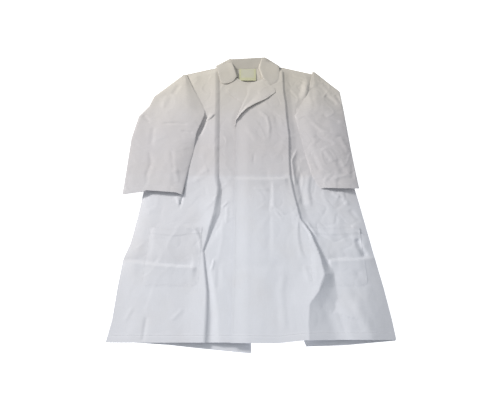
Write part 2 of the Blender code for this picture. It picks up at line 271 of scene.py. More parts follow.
# The collar leaves and stand are the coat's twill with painted shade: the leaves a little darker,
# the stand inside the neck darker still.
collar_twill_painted_shade = twill("collar_twill_painted_shade", darker=0.93)
stand_twill_painted_shade = twill("stand_twill_painted_shade", darker=0.84)
# The sleeves carry a weaker painted light tint.
sleeve_twill = twill("sleeve_twill", full_light_tint=False)


def smooth(value, low, high):
    part = np.clip((value - low) / (high - low), 0, 1)
    return part * part * (3 - 2 * part)


def roll(x, y, size, seed, stretch=(1.0, 1.0)):
    """Uneven rise and fall of cloth that was folded and then laid out, from -1 to 1."""
    places = zip((x / size / stretch[0]).tolist(), (y / size / stretch[1]).tolist())
    return np.array([noise.noise((a, b, seed * 7.31)) for a, b in places]) * 1.6


def crumple(x, y, size, seed, stretch=(1.0, 1.0)):
    """Sharp little creases, wandering and forking, of cloth that was packed: 0 to 1."""
    bent_x = x + 0.3 * size * roll(x, y, size * 1.4, seed + 5)
    bent_y = y + 0.3 * size * roll(x, y, size * 1.4, seed + 6)
    return np.clip(1 - np.abs(roll(bent_x, bent_y, size, seed, stretch)) / 0.30, 0, 1) ** 1.5


def beside(x, y, line):
    """Distance from a crease, plus on the right of the way it is walked, and the share walked."""
    points = np.array(line, float)
    steps = np.hypot(*(points[1:] - points[:-1]).T)
    walked = np.concatenate(([0], np.cumsum(steps))) / steps.sum()
    best, side, share = np.full(x.shape, 9.0), np.ones_like(x), np.zeros_like(x)
    for k, ((ax, ay), (bx, by)) in enumerate(zip(points[:-1], points[1:])):
        t = np.clip(((x - ax) * (bx - ax) + (y - ay) * (by - ay)) / steps[k] ** 2, 0, 1)
        away = np.hypot(x - ax - t * (bx - ax), y - ay - t * (by - ay))
        near = away < best
        best[near] = away[near]
        side[near] = np.sign((by - ay) * (x - ax) - (bx - ax) * (y - ay))[near]
        share[near] = (walked[k] + t * (walked[k + 1] - walked[k]))[near]
    return best * side, share, walked


def crease(x, y, line, height, left, right, sharp=True, fade=0.18):
    """What one crease adds to the height: a ridge, or a groove when the height is negative."""
    away, share, walked = beside(x, y, line)
    tall = np.interp(share, walked, height) if np.ndim(height) else height
    wide_left = np.interp(share, walked, left) if np.ndim(left) else left
    wide_right = np.interp(share, walked, right) if np.ndim(right) else right
    part = np.clip(1 - np.abs(away) / np.where(away < 0, wide_left, wide_right), 0, 1)
    part = part**2 if sharp else part * part * (3 - 2 * part)
    ends = smooth(share, 0, fade) * smooth(1 - share, 0, fade) if fade else 1.0
    return tall * part * ends


def finish_cloth(piece, material, thick, outward=1.0):
    """Gives a sheet its thickness for good, with crisp edges and smooth faces."""
    shell = piece.modifiers.new("thickness", "SOLIDIFY")
    shell.thickness = thick
    shell.offset = outward
    shell.use_even_offset = False
    bpy.context.view_layer.update()
    graph = bpy.context.evaluated_depsgraph_get()
    solid = bpy.data.meshes.new_from_object(piece.evaluated_get(graph))
    piece.modifiers.clear()
    piece.data = solid
    solid.name = piece.name
    solid.materials.clear()
    solid.materials.append(material)
    solid.shade_smooth()
    solid.set_sharp_from_angle(angle=math.radians(48))
    return piece


def lay(x, y, z):
    """Places in the frame: raised cloth lies nearer the hem than its trace on the table."""
    return np.column_stack((x + MIDDLE, y + HEM - z * (y + EYE_BACK) / EYE_UP, z))


def cloth_sheet(name, columns, rows, shape, material, thick=CLOTH, closed=False, outward=1.0):
    """A woven panel: an even grid drawn out to its cut, then given the cloth's thickness."""
    work = bmesh.new()
    bmesh.ops.create_grid(work, x_segments=columns, y_segments=rows, size=0.5)
    mesh = bpy.data.meshes.new(name)
    work.to_mesh(mesh)
    points = np.empty(len(mesh.vertices) * 3)
    mesh.vertices.foreach_get("co", points)
    points = points.reshape(-1, 3)
    x, y, z = shape(points[:, 0] + 0.5, points[:, 1] + 0.5)
    points = lay(x, y, z)
    work.verts.ensure_lookup_table()
    for vert, place in zip(work.verts, points.tolist()):
        vert.co = place
    if closed:
        bmesh.ops.remove_doubles(work, verts=work.verts, dist=0.00002)
        bmesh.ops.recalc_face_normals(work, faces=work.faces)
    work.to_mesh(mesh)
    work.free()
    piece = bpy.data.objects.new(name, mesh)
    bpy.context.scene.collection.objects.link(piece)
    return finish_cloth(piece, material, thick, outward)


thread = Recipe("white_thread")
thread.steady(Base_Color=(0.74, 0.74, 0.75, 1), Roughness=0.55, Sheen_Weight=0.3)


def sew(piece, rows, pitch=0.0034, length=0.0025, radius=0.00024):
    """Rows of lockstitch lying on a sheet's upper face, part of the sheet's own mesh."""
    work = bmesh.new()
    work.from_mesh(piece.data)
    surface = BVHTree.FromBMesh(work)
    piece.data.materials.append(thread.material)
    for row in rows:
        xs, ys = lay(*row)[:, :2].T
        walked = np.concatenate(([0], np.cumsum(np.hypot(np.diff(xs), np.diff(ys)))))
        for place in np.arange(pitch, walked[-1] - pitch, pitch):
            ends = [(np.interp(p, walked, xs), np.interp(p, walked, ys))
                    for p in (place - length / 2, place + length / 2)]
            start, end = (surface.ray_cast((ex, ey, 0.1), (0, 0, -1))[0] for ex, ey in ends)
            if start is None or end is None:
                continue
            across = (end - start).cross((0, 0, 1)).normalized()
            rings = []
            for share, wide, lift in ((0, 0.5, 0.0), (0.5, 1.0, 0.8), (1, 0.5, 0.0)):
                middle = start.lerp(end, share) + Vector((0, 0, lift * radius))
                turns = [k * 2 * math.pi / 5 for k in range(5)]
                spokes = [across * math.cos(t) + Vector((0, 0, math.sin(t))) for t in turns]
                rings.append([work.verts.new(middle + wide * radius * spoke) for spoke in spokes])
            faces = [work.faces.new(rings[0][::-1]), work.faces.new(rings[2])]
            for near, far in zip(rings[:-1], rings[1:]):
                faces += [work.faces.new((near[k], near[(k + 1) % 5], far[(k + 1) % 5], far[k]))
                          for k in range(5)]
            for face in faces:
                face.material_index, face.smooth = 1, True
    work.to_mesh(piece.data)
    work.free()


def seam_row(shape, start, end):
    """A straight row in a sheet's own cut, from one share of its width and height to another."""
    u, v = np.linspace(start[0], end[0], 160), np.linspace(start[1], end[1], 160)
    return shape(u, v)


def at(y, stations):
    heights, values = zip(*stations)
    return np.interp(y, heights, values)


LEFT_SIDE = [(-0.01, -0.350), (0.056, -0.343), (0.143, -0.344), (0.228, -0.343), (0.284, -0.330)]
LEFT_SIDE += [(0.375, -0.3225), (0.460, -0.318), (UNDERARM, -0.285), (0.900, -0.226),
              (SHOULDER[1], -SHOULDER[0])]
RIGHT_SIDE = [(-0.01, 0.3555), (0.056, 0.3535), (0.143, 0.3475), (0.238, 0.3375), (0.305, 0.331)]
RIGHT_SIDE += [(0.421, 0.320), (0.474, 0.314), (UNDERARM, 0.285), (0.900, 0.226),
               (SHOULDER[1], SHOULDER[0])]


def shoulder_line(x):
    return at(np.abs(x),
              [(0.0, LENGTH - 0.006), (0.080, LENGTH + 0.002), (0.120, LENGTH - 0.002), SHOULDER])


def hem_band(from_hem):
    """The turned-up hem: a doubled band with its stitch line."""
    band = 0.0007 * (1 - smooth(from_hem, HEM_DEPTH - 0.002, HEM_DEPTH + 0.002))
    return band - 0.0006 * np.exp(-(((from_hem - HEM_DEPTH + 0.003) / 0.0016) ** 2))


def dense_hem(v, top, share=0.07):
    """Rows of the weave, closer together over the hem."""
    return np.interp(v, [0, share, 1], [0, 0.030, top])


def back_cut(side, vent):
    def shape(u, v):
        y = dense_hem(v, LENGTH)
        outer = at(y, LEFT_SIDE if side < 0 else RIGHT_SIDE) - side * 0.0015
        inner = at(y, [(0, vent), (0.42, 0), (LENGTH, 0)])
        x = inner + (outer - inner) * u if side > 0 else outer + (inner - outer) * u
        top = smooth(y, 0.80, LENGTH) * (shoulder_line(x) - LENGTH)
        droop = at(x, [(-0.35, 0.002), (-0.196, -0.009), (-0.108, -0.019), (0.002, -0.030)])
        if side > 0:
            droop = at(x, [(0.10, -0.014), (0.228, -0.010), (0.356, 0.002)])
        z = 0.0001 + at(y, [(0.95, 0), (0.985, 0.0018)])
        z = (z + 0.0009 * np.maximum(1 + roll(x, y, 0.06, side * 3, (1.0, 1.7)), 0)
             * smooth(y, -0.02, 0.10) * (1 - smooth(y, 0.9, 0.95)))
        return x, y + top + droop * (1 - smooth(y, 0.0, 0.16)), z + hem_band(y) * 0.5

    return shape


for side, word, vent in ((-1, "left", 0.003), (1, "right", 0.1355)):
    cut = back_cut(side, vent)
    panel = cloth_sheet(f"back_panel_{word}", 96, 250, cut, lining_twill, 0.0011)
    sew(panel, [seam_row(cut, (0.02, 0.042), (0.98, 0.042))])
    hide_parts(f"back_{word}")
    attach(panel, "coat")

# ---------------------------------------------------------------- left front
# One twill panel from side seam to front edge, which lies under the right front.
# It folds back along the long pressed crease, and a shallow valley opens below the waist.
PANEL_DROP = 0.0015  # a front's underside, below the top of its CAD panel
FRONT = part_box("side_front_left")[1].z - PANEL_DROP
SEAM = 0.0022
LEFT_CREASE = [(-0.012, -0.109), (0.065, -0.109), (0.134, -0.111), (0.209, -0.121), (0.258, -0.128)]
LEFT_CREASE += [(0.310, -0.118), (0.386, -0.103), (0.475, -0.096), (0.518, -0.101), (0.660, -0.103)]
LEFT_CREASE += [(0.816, -0.107), (0.930, -0.111), (1.060, -0.118)]


def side_fall(x, y, outer):
    """How far a front has come down towards its side seam, 1 at the seam."""
    width = 0.034 + 0.030 * (1 - smooth(y, 0.04, 0.26))
    part = np.clip(1 - np.abs(outer - x) / width, 0, 1)
    return part**1.6


def columns(u, stops, marks):
    """Threads of the weave, closer together where they cross a pressed crease."""
    x = np.empty_like(u)
    for start, stop, near, far in zip(stops[:-1], stops[1:], marks[:-1], marks[1:]):
        here = (u >= start) & (u <= stop)
        x[here] = (near + (far - near) * (u - start) / (stop - start))[here]
    return x


def brought_down(x, y, z, outer):
    """A front's height once its side seam and its shoulder lie down on the back."""
    low = side_fall(x, y, outer)
    raised_seam = SEAM + 0.0026 * (1 - smooth(y, 0.10, 0.30)) * (x < 0)
    z = z * (1 - low) + (raised_seam + hem_band(y) * 0.3) * low
    near_top = smooth(y, LENGTH - 0.030, LENGTH)
    z = z * (1 - near_top) + 0.0038 * near_top
    return z + hem_band(y) * (1 - low)


def upward(line):
    return [(x, y) for y, x in line]


LEFT_FOLDS = [  # line, height, width on its left and right, sharp or not, fade at its ends
    ([(-0.096, -0.02), (-0.097, 0.065), (-0.104, 0.134), (-0.116, 0.209), (-0.121, 0.250)],
     [-0.0030, -0.0030, -0.0024, -0.0012, 0.0], [0.013, 0.012, 0.008, 0.006, 0.005], [0.026, 0.022,
     0.016, 0.012, 0.008], False, 0),
    ([(-0.118, 0.275), (-0.108, 0.325), (-0.093, 0.386), (-0.086, 0.475), (-0.094, 0.530)],
     [-0.0005, -0.0024, -0.0030, -0.0028, -0.0006], [0.008, 0.012, 0.014, 0.013, 0.008], [0.014,
     0.030, 0.044, 0.036, 0.014], False, 0),
    ([(-0.132, 0.250), (-0.140, 0.299), (-0.154, 0.331), (-0.191, 0.343)], 0.0018, 0.014, 0.008),
    ([(-0.062, 0.430), (-0.081, 0.404)], 0.0016, 0.006, 0.009),
    ([(-0.067, 0.345), (-0.067, 0.412)], 0.0014, 0.006, 0.010),
    ([(-0.102, 0.196), (-0.096, 0.232)], 0.0016, 0.006, 0.008),
    ([(-0.083, 0.135), (-0.083, 0.230)], -0.0009, 0.010, 0.012, False),
    # pressed folds across the skirt, and the small tucks of a coat fresh from its bag
    ([(-0.150, 0.211), (-0.200, 0.214), (-0.240, 0.216), (-0.285, 0.226), (-0.350, 0.232)], -0.0022,
     0.006, 0.032, True, 0.06),
    ([(-0.140, 0.203), (-0.200, 0.206), (-0.270, 0.214), (-0.350, 0.224)], 0.0032, 0.060, 0.009,
     True, 0.06),
    ([(-0.259, 0.000), (-0.259, 0.068)], -0.0016, 0.007, 0.012),
    ([(-0.310, 0.050), (-0.296, 0.090)], 0.0012, 0.012, 0.010),
    ([(-0.195, 0.055), (-0.168, 0.085)], 0.0011, 0.010, 0.010),
    ([(-0.205, 0.395), (-0.199, 0.455), (-0.198, 0.500)], -0.0036, 0.006, 0.006, True, 0.3),
    ([(-0.206, 0.415), (-0.211, 0.436), (-0.222, 0.450)], 0.0030, 0.010, 0.006, True, 0.3),
    ([(-0.171, 0.500), (-0.128, 0.560)], 0.0010, 0.014, 0.014, False),
    ([(-0.116, 0.808), (-0.130, 0.788), (-0.156, 0.758)], 0.0034, 0.006, 0.022, True, 0.25),
    ([(-0.140, 0.806), (-0.155, 0.755), (-0.170, 0.690)], -0.0058, 0.013, 0.012, False, 0.3),
]


def left_front_height(x, y):
    """Underside of the left front above the table, creases and all."""
    z = np.full(x.shape, FRONT - 0.0002)
    away, share, walked = beside(x, y, upward(LEFT_CREASE))
    drop = np.interp(share, walked, [
        0.0028, 0.0028, 0.0028, 0.0028, 0.0028, 0.0036, 0.0050, 0.0044, 0.0040, 0.0046, 0.0046,
        0.0044, 0.0040])
    wide = np.interp(share, walked, [
        0.008, 0.008, 0.007, 0.005, 0.005, 0.010, 0.019, 0.015, 0.014, 0.016, 0.016, 0.016, 0.015])
    before = wide * np.interp(share, walked, [
        0.5, 0.5, 0.5, 0.5, 0.4, 0.2, 0.1, 0.2, 0.5, 0.7, 0.75, 0.75, 0.75])
    gone = np.clip((away + before) / wide, 0, 1)
    z = z + drop * (1 - gone**1.7) * np.clip(1 + (away + before) / 0.050, 0, 1) ** 1.5
    for fold in LEFT_FOLDS:
        z = z + crease(x, y, *fold)
    free = (smooth(y, 0.0, 0.03) * (1 - 0.75 * smooth(x, -0.06, -0.03))
            * (1 - 0.8 * smooth(-x, 0.20, 0.24) * smooth(y, 0.44, 0.50)))
    z = (z + free * (0.0008 * roll(x, y, 0.085, 11, (1.0, 1.6))
                     + 0.00025 * roll(x, y, 0.026, 12, (1.0, 1.5))))
    fine = (0.0006 * crumple(x, y, 0.075, 14, (1.0, 1.5))
            - 0.0004 * crumple(x, y, 0.040, 15, (1.0, 1.3)))
    z = z + free * fine * (0.45 + 0.55 * smooth(y, 0.18, 0.26))
    return z


def left_front_cut(u, v):
    y = dense_hem(v, LENGTH - 0.001)
    outer = at(y, LEFT_SIDE)
    fold = at(y, LEFT_CREASE)
    inner = at(y, [(0, 0.030), (0.767, 0.030), (0.900, 0.024), (0.955, 0.016), (0.966, -0.002),
                   (0.971, -0.024),
                   (0.990, -0.046), (LENGTH, -0.083)])
    stops = [0, 0.50, 0.60, 0.74, 1.0]
    marks = [outer, fold - 0.018, fold, np.minimum(fold + 0.030, inner - 0.010), inner]
    x = columns(u, stops, marks)
    z = brought_down(x, y, left_front_height(x, y), outer)
    top = smooth(y, 0.80, LENGTH) * (shoulder_line(x) - LENGTH)
    return x, y + top - 0.003 * (1 - smooth(y, 0, 0.1)), z


left_front = cloth_sheet("left_front", 122, 310, left_front_cut, coat_twill)
sew(left_front, [seam_row(left_front_cut, (0.01, 0.042), (0.99, 0.042)),
                 seam_row(left_front_cut, (0.985, 0.05), (0.985, 0.66))])
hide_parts("side_front_left", "front_under")
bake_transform(left_front)

# ---------------------------------------------------------------- right front
# The same panel for the right side; its free edge lies over the left front.
# Its pressed crease runs to the waist, then the skirt spreads and drops into a broad valley.
TOP_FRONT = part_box("front_over")[1].z - PANEL_DROP
RIGHT_CREASE = [(-0.012, 0.1415), (0.048, 0.143), (0.099, 0.149), (0.134, 0.174), (0.185, 0.194)]
RIGHT_CREASE += [(0.235, 0.189), (0.275, 0.180), (0.320, 0.166), (0.364, 0.142), (0.462, 0.127)]
RIGHT_CREASE += [(0.527, 0.120), (0.611, 0.121), (0.694, 0.125), (0.784, 0.121), (0.855, 0.120)]
RIGHT_CREASE += [(0.914, 0.116), (1.060, 0.117)]


RIGHT_FOLDS = [  # line, height, width on its left and right, sharp or not, fade at its ends
    ([(0.210, 1.040), (0.205, 0.985), (0.194, 0.925), (0.176, 0.860)], 0.0058, 0.024, 0.020, False,
     0.40),
    ([(0.258, -0.02), (0.246, 0.040), (0.232, 0.091), (0.232, 0.180)], [0.0070, 0.0066, 0.0040,
     0.0], 0.050, 0.098, False, 0),
    ([(0.240, 0.462), (0.256, 0.450), (0.272, 0.440)], 0.0028, 0.010, 0.008, True, 0.3),
    ([(0.149, 0.225), (0.138, 0.258), (0.134, 0.299), (0.136, 0.366)], 0.0020, 0.022, 0.005),
    ([(0.178, 0.296), (0.150, 0.350)], 0.0022, 0.009, 0.006),
    ([(0.188, 0.300), (0.162, 0.356)], 0.0016, 0.007, 0.008),
    ([(0.136, 0.480), (0.132, 0.542), (0.130, 0.588), (0.152, 0.645)], 0.0028, 0.007, 0.016),
    ([(0.155, 0.400), (0.150, 0.500), (0.160, 0.560)], -0.0016, 0.010, 0.012, False),
    ([(0.176, 0.400), (0.172, 0.470), (0.182, 0.545)], 0.0020, 0.014, 0.010, False),
    # folds across and down the middle, from the packet
    ([(0.117, 0.523), (0.060, 0.519), (0.020, 0.522), (-0.060, 0.521)], -0.0016, 0.006, 0.030, True,
     0.12),
    ([(0.117, 0.514), (0.020, 0.511), (-0.060, 0.513)], 0.0032, 0.055, 0.008, True, 0.08),
    ([(0.050, 0.215), (0.057, 0.300), (0.057, 0.415), (0.066, 0.520)], -0.0010, 0.034, 0.010),
    ([(0.068, 0.400), (0.068, 0.512)], 0.0010, 0.006, 0.020),
    ([(0.100, 0.376), (0.062, 0.418)], 0.0018, 0.006, 0.010),
    ([(0.094, 0.357), (0.067, 0.402)], 0.0014, 0.006, 0.008),
    ([(0.057, 0.472), (0.010, 0.478)], 0.0011, 0.012, 0.010),
    ([(0.110, 0.210), (-0.045, 0.207)], -0.0008, 0.020, 0.026, False),
    ([(0.144, 0.215), (0.154, 0.160)], 0.0012, 0.010, 0.008),
    ([(0.086, 0.020), (0.080, 0.130), (0.092, 0.200)], 0.0010, 0.018, 0.012, False),
    ([(0.010, 0.570), (0.013, 0.625)], -0.0010, 0.008, 0.010, True, 0.4),
    ([(0.059, 0.660), (0.064, 0.740), (0.058, 0.789), (0.012, 0.845)], 0.0024, 0.018, 0.010, True,
     0.4),
    ([(0.095, 0.700), (0.088, 0.790), (0.040, 0.840)], -0.0012, 0.016, 0.016, False, 0.4),
    ([(0.030, 0.660), (-0.014, 0.750)], 0.0012, 0.016, 0.020, False, 0.4),
    # side panel and skirt: tucks round the pocket, and the fold above the hem
    ([(0.345, 0.243), (0.300, 0.233), (0.262, 0.237), (0.208, 0.232)], -0.0020, 0.006, 0.032, True,
     0.10),
    ([(0.345, 0.235), (0.290, 0.228), (0.208, 0.224)], 0.0030, 0.060, 0.008, True, 0.06),
    ([(0.296, 0.300), (0.302, 0.270), (0.318, 0.236)], -0.0040, 0.012, 0.016, False),
    ([(0.324, 0.308), (0.284, 0.340)], 0.0024, 0.008, 0.014),
    ([(0.316, 0.352), (0.286, 0.398)], -0.0018, 0.012, 0.012, False),
    ([(0.286, 0.410), (0.268, 0.470)], 0.0020, 0.012, 0.012, False),
    ([(0.300, -0.01), (0.282, 0.060), (0.262, 0.120)], 0.0014, 0.022, 0.022, False),
    ([(0.300, 0.140), (0.286, 0.200)], -0.0012, 0.018, 0.018, False),
]


def right_front_height(x, y):
    """Underside of the right front above the table: high over the left front, low at the side."""
    away, share, walked = beside(x, y, upward(RIGHT_CREASE))
    wide = np.interp(share, walked, [
        0.100, 0.084, 0.074, 0.054, 0.030, 0.014, 0.008, 0.007, 0.006, 0.006, 0.007, 0.007, 0.006,
        0.008, 0.008, 0.008, 0.007])
    hollow = np.interp(share, walked, [1.25, 1.2, 1.15, 1.15, 1.3, 1.8, 2.2] + [1.6] * 10)
    lip = np.interp(share, walked, [
        0.0056, 0.0070, 0.0084, 0.0090, 0.0076, 0.0048, 0.0030, 0.0018, 0.0012, 0.0008, 0.0010,
        0.0008, 0.0006, 0.0010, 0.0006, 0.0008, 0.0006])
    spread = np.interp(share, walked, [0.08, 0.08, 0.08, 0.075, 0.065, 0.05, 0.04] + [0.028] * 10)
    shelf = (np.interp(share, walked, [0.0] * 6 + [0.2, 0.6] + [1.0] * 9)
             * (TOP_FRONT - 0.0028 - FRONT))
    trough = np.interp(share, walked, [0.0036, 0.0036, 0.0034, 0.0026, 0.0010] + [0.0] * 12)
    low = FRONT - 0.0004 + shelf * (1 - smooth(away, 0.0, 0.028))
    low = low - trough * (1 - smooth(away, 0.9 * wide, 2.0 * wide))
    rise = lip * np.clip(1 - np.abs(away) / spread, 0, 1) ** 1.6
    down = np.clip(1 - away / wide, 0, 1) ** hollow
    z = np.where(away < 0, TOP_FRONT + rise, low + (TOP_FRONT + lip - low) * down)
    # the free edge comes down on the left front beyond the row of buttons
    edge = smooth(-x, 0.002, 0.044) * (1 - 0.55 * smooth(y, 0.72, 0.80))
    z = z - 0.0026 * edge
    z = z - 0.0030 * smooth(y, 0.80, 0.88) * smooth(0.060 - x, 0.0, 0.070)
    for fold in RIGHT_FOLDS:
        z = z + crease(x, y, *fold)
    on_left = 1 - 0.80 * smooth(-x, -0.04, 0.0)
    free = (smooth(y, 0.0, 0.03) * on_left
            * (1 - 0.85 * smooth(x, 0.190, 0.225) * smooth(y, 0.45, 0.50)))
    busy = 1 + 1.1 * smooth(x, 0.13, 0.20)
    z = (z + free * (0.0008 * roll(x, y, 0.080, 21, (1.0, 1.7))
                     + busy * 0.00028 * roll(x, y, 0.024, 22, (1.0, 1.8))))
    fine = (0.0006 * crumple(x, y, 0.070, 24, (1.0, 1.6))
            - 0.0004 * crumple(x, y, 0.036, 25, (1.0, 1.4)))
    z = z + free * busy * fine * (0.35 + 0.65 * smooth(y, 0.18, 0.34))
    return z


def front_edge(y):
    """Inner edge of the right front: straight to the break, then the roll line to the neck."""
    line = [(0, -0.047), (0.767, -0.047), (0.850, -0.026), (0.905, -0.010), (0.950, -0.012),
            (0.966, 0.002)]
    line += [(0.972, 0.022), (0.990, 0.043), (1.020, 0.062), (LENGTH, 0.081)]
    return at(y, line)


def right_front_cut(u, v):
    y = dense_hem(v, LENGTH - 0.001)
    outer = at(y, RIGHT_SIDE)
    fold = at(y, RIGHT_CREASE)
    inner = front_edge(y)
    stops = [0, 0.36, 0.46, 0.62, 1.0]
    marks = [inner, np.maximum(fold - 0.022, inner + 0.004), fold,
             np.minimum(fold + 0.040, outer - 0.010), outer]
    x = columns(u, stops, marks)
    z = brought_down(x, y, right_front_height(x, y), outer)
    top = smooth(y, 0.80, LENGTH) * (shoulder_line(x) - LENGTH)
    uneven_hem = at(x,
                    [(-0.047, -0.004), (0.069, -0.005), (0.134, 0.003), (0.240, 0.004),
                     (0.355, 0.004)])
    return x, y + top + uneven_hem * (1 - smooth(y, 0, 0.1)), z


right_front = cloth_sheet("right_front", 132, 310, right_front_cut, coat_twill)
sew(right_front,
    [seam_row(right_front_cut, (0.01, 0.042), (0.99, 0.042)),
     seam_row(right_front_cut, (0.012, 0.05), (0.012, 0.66))])
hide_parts("side_front_right", "front_over")
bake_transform(right_front)

# ---------------------------------------------------------------- front facings
# A strip of the same twill inside each front edge, stitched down and turned in with the hem.


def facing_cut(height, side, edge, drop):
    def shape(u, v):
        y = dense_hem(v, 0.760) + 0.004
        near, far = sorted((edge, edge + side * 0.072))
        x = near + (far - near) * u
        return x, y, height(x, y) - drop - 0.0003 * np.abs(np.sin(y * 40))

    return shape


left_facing = cloth_sheet("left_facing", 22, 150, facing_cut(left_front_height, -1, 0.028, 0.0011),
                          lining_twill, 0.0009)
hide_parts("facing_under")
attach(left_facing, "under_front")
right_facing = cloth_sheet("right_facing", 22, 150,
                           facing_cut(right_front_height, 1, -0.0445, 0.0011), lining_twill, 0.0009)
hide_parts("facing_over")
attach(right_facing, "over_front")

# ---------------------------------------------------------------- patch pockets
# A lined patch topstitched to each front on three sides, with a turned hem at its mouth.
# They lie nearly flat, and the folds of the skirt run on across them.
POCKET_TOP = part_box("pocket_left")[1].y - HEM
POCKET_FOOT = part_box("pocket_left")[0].y - HEM


def pocket_cut(height, low_x, high_x, belly, sag):
    def shape(u, v):
        x = low_x + (high_x - low_x) * u
        y = POCKET_FOOT + (POCKET_TOP - POCKET_FOOT) * np.interp(v, [0, 0.86, 1], [0, 0.90, 1])
        corner = 0.018
        inset = np.minimum(np.minimum(x - low_x, high_x - x), corner)
        y = np.maximum(y, POCKET_FOOT + corner
                       - np.sqrt(np.maximum(corner**2 - (corner - inset) ** 2, 0)))
        rim = np.minimum(np.minimum(x - low_x, high_x - x), y - POCKET_FOOT)
        puff = smooth(rim, 0.0, 0.022)
        z = (height(x, y) + CLOTH - 0.0006 + puff * belly
             * (0.35 + 0.65 * smooth(y, POCKET_FOOT, POCKET_TOP)))
        z = z - 0.0002 * np.exp(-(((rim - 0.004) / 0.002) ** 2))
        mouth = POCKET_TOP - y
        z = z + 0.0008 * (1 - smooth(mouth, 0.018, 0.023))
        y = y - sag * smooth(y, POCKET_TOP - 0.08, POCKET_TOP) * np.sin(np.pi * u) ** 2
        return x, y, z

    return shape


for word, height, belly, sag in (("left", left_front_height, 0.0018, 0.010),
                                 ("right", right_front_height, 0.0020, 0.006)):
    low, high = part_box(f"pocket_{word}")
    pocket = cloth_sheet(f"patch_pocket_{word}", 54, 64,
                         pocket_cut(height, low.x - MIDDLE, high.x - MIDDLE, belly, sag),
                         coat_twill, 0.0009)
    rim_x = (np.array([0.004, 0.004, 0.006, 0.011, 0.018, 0.076, 0.134, 0.141, 0.146, 0.148, 0.148])
             * (high.x - low.x) / 0.152)
    rim_y = np.array([0.172, 0.018, 0.011, 0.006, 0.004, 0.004, 0.004, 0.006, 0.011, 0.018, 0.172])
    mouth_u = np.linspace(0.03, 0.97, 60)
    mouth_y = (POCKET_TOP - 0.020 - sag * smooth(POCKET_TOP - 0.020, POCKET_TOP - 0.08, POCKET_TOP)
               * np.sin(np.pi * mouth_u) ** 2)
    left_x = low.x - MIDDLE
    mouth_x = left_x + mouth_u * (high.x - low.x)
    rim_x, rim_y = left_x + rim_x, POCKET_FOOT + rim_y
    sew(pocket, [(rim_x, rim_y, height(rim_x, rim_y)),
                 (mouth_x, mouth_y, height(mouth_x, mouth_y))])
    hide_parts(f"pocket_{word}")
    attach(pocket, "coat")

# ---------------------------------------------------------------- neck
# A half-moon facing inside the back neck, and a blank woven label sewn on it by its rim.


def neck_facing_cut(u, v):
    x = -0.078 + 0.156 * u
    bottom = LENGTH - 0.012 - 0.098 * np.sqrt(np.maximum(1 - (x / 0.0785) ** 2, 0))
    y = bottom + (LENGTH - 0.004 - bottom) * v
    return x, y, 0.0036 + 0.0005 * roll(x, y, 0.03, 31)


neck_facing = cloth_sheet("back_neck_lining", 60, 40, neck_facing_cut, lining_twill, 0.0009)
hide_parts("back_neck_facing")
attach(neck_facing, "coat")

woven = Recipe("woven_label")
place = woven.node("TexCoord", {}, "Object")
label_x = woven.node("SeparateXYZ", {}, "X", Vector=place)
label_y = woven.node("SeparateXYZ", {}, "Y", Vector=place)
LABEL_X, LABEL_Y = (-0.040, 0.022), (0.979, 1.046)
from_side = (label_x - (MIDDLE + sum(LABEL_X) / 2)).math("ABSOLUTE")
from_end = (label_y - (HEM + sum(LABEL_Y) / 2)).math("ABSOLUTE")
past_side = from_side - (LABEL_X[1] - LABEL_X[0]) / 2
in_border = past_side.math("MAXIMUM", from_end - (LABEL_Y[1] - LABEL_Y[0]) / 2)
border = woven.node("MapRange", {}, 0, Value=in_border, _1=-0.0085, _2=-0.0070, _3=0.0, _4=1.0)
inner_line = woven.node("MapRange", {}, 0, Value=(in_border + 0.0115).math("ABSOLUTE"), _1=0.0005,
                        _2=0.0012, _3=1.0, _4=0.0)
picks = (label_y * (2 * math.pi / 0.0009)).math("SINE")
thread_mix = border * 0.75 + inner_line * 0.5 + picks * 0.06
cloth_colour = woven.node("Mix", {"data_type": "RGBA"}, 2, _0=thread_mix, _6=(0.49, 0.48, 0.38, 1),
                          _7=(0.49, 0.49, 0.28, 1))
woven.varies("Base Color", cloth_colour)
woven.varies("Roughness", 0.55 + picks * 0.05)
raised = picks * 0.00008 + border * 0.0003
woven.varies("Normal", woven.node("Bump", {}, 0, Strength=0.5, Distance=1.0, Height=raised))
woven.steady(Sheen_Weight=0.2)


def label_cut(u, v):
    x = LABEL_X[0] + (LABEL_X[1] - LABEL_X[0]) * u
    y = LABEL_Y[0] + (LABEL_Y[1] - LABEL_Y[0]) * v
    free = (1 - v) ** 2
    return (x, y, 0.0052 + 0.0022 * free + 0.0008 * np.sin(np.pi * u) * (0.3 + free)
            + 0.0003 * roll(x, y, 0.02, 33))


label = cloth_sheet("woven_label", 30, 34, label_cut, woven.material, 0.0005)
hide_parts("neck_label")
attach(label, "coat")

# ---------------------------------------------------------------- collar
# A two-layer collar: its stand rises round the neck, rolls over, and its leaf lies on the fronts.
# Behind the neck the fall is folded under; each front end is a leaf with a rounded corner.
COLLAR_LAYERS = 0.0020


